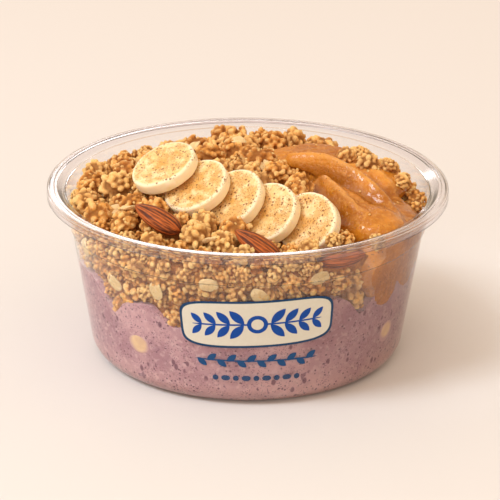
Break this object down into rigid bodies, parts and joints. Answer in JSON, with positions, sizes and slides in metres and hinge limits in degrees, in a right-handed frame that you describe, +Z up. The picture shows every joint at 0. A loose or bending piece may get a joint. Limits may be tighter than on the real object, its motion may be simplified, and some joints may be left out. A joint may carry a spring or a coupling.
{
  "type": "acai bowl",
  "caption": "Clear plastic bowl with a flanged rim, filled with purple smoothie and heaped with granola, banana slices, almonds and a swirl of nut butter.",
  "frame": {"origin": "on the floor under the middle of the bowl", "axes": "+Z up along the bowl's axis; -Y towards the side with the almonds, the front; +X towards the nut butter"},
  "size_m": [0.1802, 0.1802, 0.0997],
  "materials": {
    "clear_plastic": "clear and glossy",
    "smoothie": "thick purple smoothie, softly wet",
    "banana": "moist banana flesh",
    "almond": "almond skin",
    "nut_butter": "oily nut butter, glossy",
    "granola": "toasted oat clusters, dry"
  },
  "bodies": {
    "root": {"bowl_floor": "clear_plastic", "bowl": "clear_plastic", "bowl_rim": "clear_plastic", "smoothie": "smoothie", "banana_chunk_1": "banana", "banana_chunk_2": "banana", "granola_heap": "granola", "banana_slice_1": "banana", "banana_slice_2": "banana", "banana_slice_3": "banana", "banana_slice_4": "banana", "banana_slice_5": "banana", "almond_1": "almond", "almond_2": "almond", "almond_3": "almond", "nut_butter": "nut_butter", "granola_cluster_1": "granola", "granola_cluster_2": "granola", "granola_cluster_3": "granola", "granola_cluster_4": "granola", "granola_cluster_5": "granola", "granola_cluster_6": "granola", "granola_cluster_7": "granola"}
  },
  "joints": []
}
